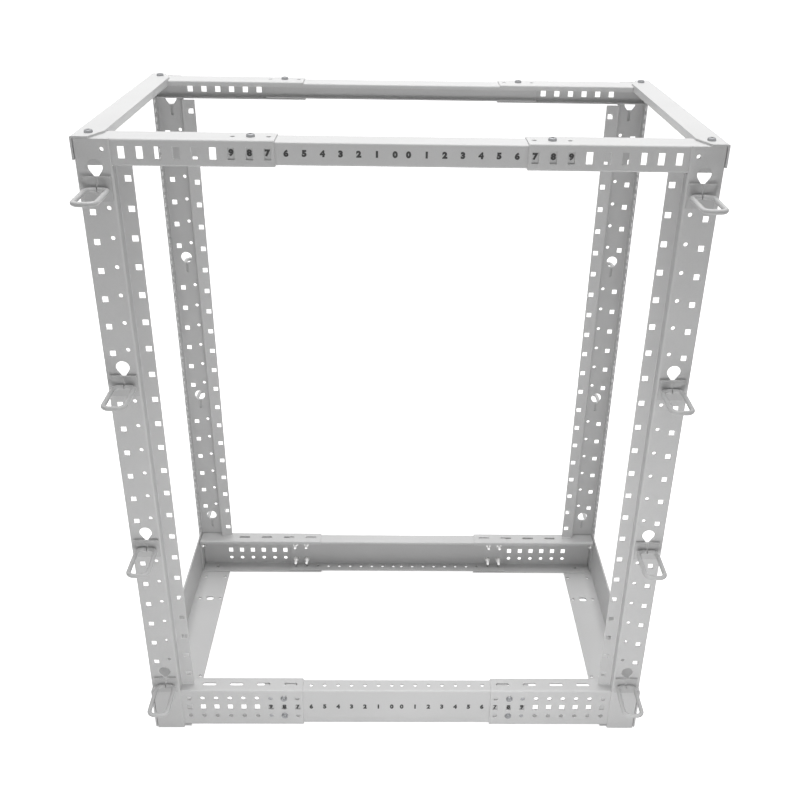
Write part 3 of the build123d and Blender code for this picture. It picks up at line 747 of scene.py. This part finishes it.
class RACK_OT_top_joint_bolts(bpy.types.Operator):
    """Puts a bolt on each top telescoping joint: its head on the outer rail, its nut on the sleeve"""
    bl_idname = "rack.top_joint_bolts"
    bl_label = "Top Joint Bolts"

    def execute(self, context):
        for end, way in ENDS.items():
            places = [((way * JOINT_COLUMN, side * LEG_COLUMN, RAIL_TOP), "+Z")
                      for side in SIDES.values()]
            set_fasteners(f"{end}_top_joint_bolts", BODY_OF_END[end], ("head", "thread"), places,
                          shank_length=SHEET)
        places = [((way * JOINT_COLUMN, side * LEG_COLUMN, SLEEVE_HIGH.z), "+Z")
                  for way in ENDS.values() for side in SIDES.values()]
        set_fasteners("top_joint_nuts", "sleeves", ("thread", "nut"), places, nut_place=SHEET,
                      shank_length=context.scene.rack_bolts.top_joint_length)
        return {"FINISHED"}


class RACK_OT_bottom_joint_bolts(bpy.types.Operator):
    """Puts bolts in cup washers and flush pins on the bottom telescoping joints"""
    bl_idname = "rack.bottom_joint_bolts"
    bl_label = "Bottom Joint Bolts"

    def execute(self, context):
        chosen = context.scene.rack_bolts
        through = 2 * SHEET + SLIDE_GAP
        for name, side in SIDES.items():
            out = "+Y" if side > 0 else "-Y"
            face = side * FOOT_RAIL_FACE
            cups, pins = [], []
            for way in ENDS.values():
                for rise in (-ROUND_ROW, ROUND_ROW):
                    height = WINDOW_ROWS[name] + rise
                    cups.append(((way * JOINT_COLUMN, face, height), out))
                    pins.append(((way * PIN_COLUMN, face, height), out))
            set_fasteners(f"{name}_bottom_joint_bolts", "sleeves", ("head", "thread", "nut", "cup"), cups,
                          head_radius=chosen.cup_head_radius, head_height=chosen.cup_head_height,
                          head_seat=chosen.cup_height * CUP_FLOOR, socket_radius=chosen.small_socket,
                          nut_place=through, shank_length=chosen.joint_length)
            set_fasteners(f"{name}_bottom_joint_pins", "sleeves", ("head", "thread", "nut"), pins,
                          head_radius=chosen.pin_radius, head_height=chosen.pin_height,
                          head_seat=-chosen.pin_depth, socket_radius=chosen.small_socket,
                          nut_place=through, shank_length=chosen.joint_length,
                          shank_start=PIN_LAP - chosen.pin_depth)
        return {"FINISHED"}


class RACK_OT_cable_rings(bpy.types.Operator):
    """Makes the cable rings: a bent rod with its ends together, on a plate with a folded lip and a rib"""
    bl_idname = "rack.cable_rings"
    bl_label = "Cable Rings"

    def execute(self, context):
        chosen = context.scene.rack_rings
        tree = ring_tree("cable_ring")
        for end in ENDS:
            names = [f"{end}_{side}_cable_ring_{row}" for side in SIDES for row in range(1, RING_ROWS + 1)]
            places = []
            for low, high in map(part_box, names):
                face, facing = (low.y, 0) if high.y > 0 else (high.y, math.pi)
                places.append((((low.x + high.x) / 2, face, high.z), (0, 0, facing)))
            # All rings have one size, and the last one's box gives it
            values = {"Half Width": RING_WIDTH / 2 - chosen.rod_radius,
                      "Reach": high.y - low.y - chosen.rod_radius,
                      "Bar": PLATE_SHEET + chosen.rod_radius - RING_NECK, "Drop": RING_DROP,
                      "Gap": chosen.gap, "Rod Radius": chosen.rod_radius, "Corner": chosen.corner,
                      "Sheet": PLATE_SHEET, "Plate Width": high.x - low.x,
                      "Plate Height": high.z - low.z, "Lip": chosen.lip, "Rib": chosen.rib,
                      "Material": bpy.data.materials["ring_powder_coat"]}
            made = grown(f"{end}_cable_rings", tree, places, values)
            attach(made, BODY_OF_END[end])
            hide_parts(*names)
        return {"FINISHED"}


def glyph(name, digit, height, width):
    """A digit's mesh, facing +Z, and the matrix that sets it upright about its own middle."""
    chosen = bpy.context.scene.rack_numbers
    text = bpy.data.curves.new(name, "FONT")
    # The lettering's own nine doesn't fill when it is widened, and is a six turned over
    text.body = "6" if digit == 9 else str(digit)
    text.align_x = "CENTER"
    text.align_y = "CENTER"
    text.size = height / DIGIT_SHARE
    text.offset = chosen.bold
    text.extrude = chosen.film / 2
    text.resolution_u = LETTER_STEPS
    source = bpy.data.objects.new(name, text)
    bpy.context.scene.collection.objects.link(source)
    made = plain_mesh(name, source)
    mesh = made.data
    bpy.data.objects.remove(made)
    low, high = spans(mesh)
    centred = Matrix.Diagonal((width, 1, 1, 1)) @ Matrix.Translation(-(low + high) / 2)
    if digit == 9:
        centred = Matrix.Rotation(math.pi, 4, "Z") @ centred
    return mesh, centred


def print_row(name, side, face, centre, height, width):
    """Prints the numbers of one sleeve on its outer face, as one mesh."""
    merged = bmesh.new()
    turn = Matrix(((-side, 0, 0), (0, 0, 1), (0, side, 0))).transposed().to_4x4()
    off = side * (face + bpy.context.scene.rack_numbers.film / 2)
    for digit in range(DIGITS):
        mesh, centred = glyph(f"{name}_{digit}", digit, height, width)
        for way in ENDS.values():
            place = Matrix.Translation((way * (FIRST_MARK + digit * DEPTH_STEP), off, centre))
            copy = mesh.copy()
            copy.transform(place @ turn @ centred)
            merged.from_mesh(copy)
            bpy.data.meshes.remove(copy)
        bpy.data.meshes.remove(mesh)
    mesh = bpy.data.meshes.new(f"{name}_numbers")
    merged.to_mesh(mesh)
    merged.free()
    close_shell(mesh)
    mesh.materials.append(bpy.data.materials["screen_ink"])
    made = bpy.data.objects.new(mesh.name, mesh)
    bpy.context.scene.collection.objects.link(made)
    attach(made, "sleeves")


class RACK_OT_numbers(bpy.types.Operator):
    """Prints the depth numbers on the sleeves, nought to nine each way from the middle"""
    bl_idname = "rack.numbers"
    bl_label = "Depth Numbers"

    def execute(self, context):
        chosen = context.scene.rack_numbers
        for name, side in SIDES.items():
            print_row(f"{name}_top", side, -SLEEVE_LOW.y, TOP_ROW + chosen.rise, chosen.height,
                      chosen.width)
            print_row(f"{name}_bottom", side, FOOT_SLEEVE_FACE, WINDOW_ROWS[name] + chosen.foot_rise,
                      chosen.foot_height, chosen.foot_width)
        return {"FINISHED"}


class RACK_OT_stage(bpy.types.Operator):
    """Sets up the pale floor, the soft studio light and the camera of the photograph"""
    bl_idname = "rack.stage"
    bl_label = "Studio"

    def execute(self, context):
        chosen = context.scene.rack_stage
        half = chosen.floor_size / 2
        mesh = bpy.data.meshes.new("studio_floor")
        mesh.from_pydata([(-half, -half, 0), (half, -half, 0), (half, half, 0), (-half, half, 0)], [],
                         [(0, 1, 2, 3)])
        floor = bpy.data.objects.new("studio_floor", mesh)
        context.scene.collection.objects.link(floor)
        mesh.materials.append(studio_floor("studio_paper", chosen.floor, chosen.floor_glow))

        world = bpy.data.worlds.new("studio_air")
        world.use_nodes = True
        tree = world.node_tree
        tree.nodes.clear()
        even = add(tree, "ShaderNodeBackground", {"Color": (1, 1, 1, 1), "Strength": chosen.sky})
        white = add(tree, "ShaderNodeBackground", {"Color": (1, 1, 1, 1), "Strength": 1.0})
        both = add(tree, "ShaderNodeMixShader", None, {0: seen_ray(tree), 1: (even, 0), 2: (white, 0)})
        add(tree, "ShaderNodeOutputWorld", None, {"Surface": (both, 0)})
        context.scene.world = world

        for name, (power, size, place, aim) in LAMPS.items():
            lamp = bpy.data.lights.new(name, "AREA")
            lamp.energy = getattr(chosen, power)
            lamp.shape = "SQUARE"
            lamp.size = size
            made = bpy.data.objects.new(name, lamp)
            made.location = place
            towards = Vector((0, 0, aim)) - Vector(place)
            made.rotation_euler = towards.to_track_quat("-Z", "Y").to_euler()
            made.visible_camera = False
            context.scene.collection.objects.link(made)

        lens = bpy.data.cameras.new("photo_camera")
        lens.lens = chosen.lens
        lens.sensor_width = SENSOR_WIDTH
        lens.shift_x, lens.shift_y = chosen.shift
        lens.clip_start = CLIP_START
        lens.clip_end = CLIP_END
        camera = bpy.data.objects.new("photo_camera", lens)
        camera.location = chosen.camera
        camera.rotation_euler = chosen.aim
        context.scene.collection.objects.link(camera)
        context.scene.camera = camera
        context.scene.view_settings.view_transform = "Standard"
        return {"FINISHED"}


class RACK_PT_panel(bpy.types.Panel):
    """Lists the rack's steps in the 3D view's sidebar"""
    bl_idname = "RACK_PT_panel"
    bl_label = "Open Frame Rack"
    bl_space_type = "VIEW_3D"
    bl_region_type = "UI"
    bl_category = "Rack"

    def draw(self, context):
        for step in STEPS:
            self.layout.operator(step.bl_idname)
        for group in SETTINGS:
            box = self.layout.box()
            for key in getattr(context.scene, group).bl_rna.properties.keys():
                if key not in ("rna_type", "name"):
                    box.prop(getattr(context.scene, group), key)


STEPS = (RACK_OT_coat, RACK_OT_frame_bolts, RACK_OT_top_joint_bolts, RACK_OT_bottom_joint_bolts,
         RACK_OT_cable_rings, RACK_OT_numbers, RACK_OT_stage)
SETTINGS = {"rack_bolts": RackBoltSettings, "rack_rings": RackRingSettings,
            "rack_numbers": RackNumberSettings, "rack_finish": RackFinishSettings,
            "rack_stage": RackStageSettings}


def register():
    for each in (*SETTINGS.values(), *STEPS, RACK_PT_panel):
        bpy.utils.register_class(each)
    for name, group in SETTINGS.items():
        setattr(bpy.types.Scene, name, PointerProperty(type=group))


def unregister():
    for name in SETTINGS:
        delattr(bpy.types.Scene, name)
    for each in (RACK_PT_panel, *reversed(STEPS), *reversed(SETTINGS.values())):
        bpy.utils.unregister_class(each)


def main():
    register()
    bpy.ops.rack.coat()
    bpy.ops.rack.frame_bolts()
    bpy.ops.rack.top_joint_bolts()
    bpy.ops.rack.bottom_joint_bolts()
    bpy.ops.rack.cable_rings()
    bpy.ops.rack.numbers()
    bpy.ops.rack.stage()


if __name__ == "__main__":
    main()
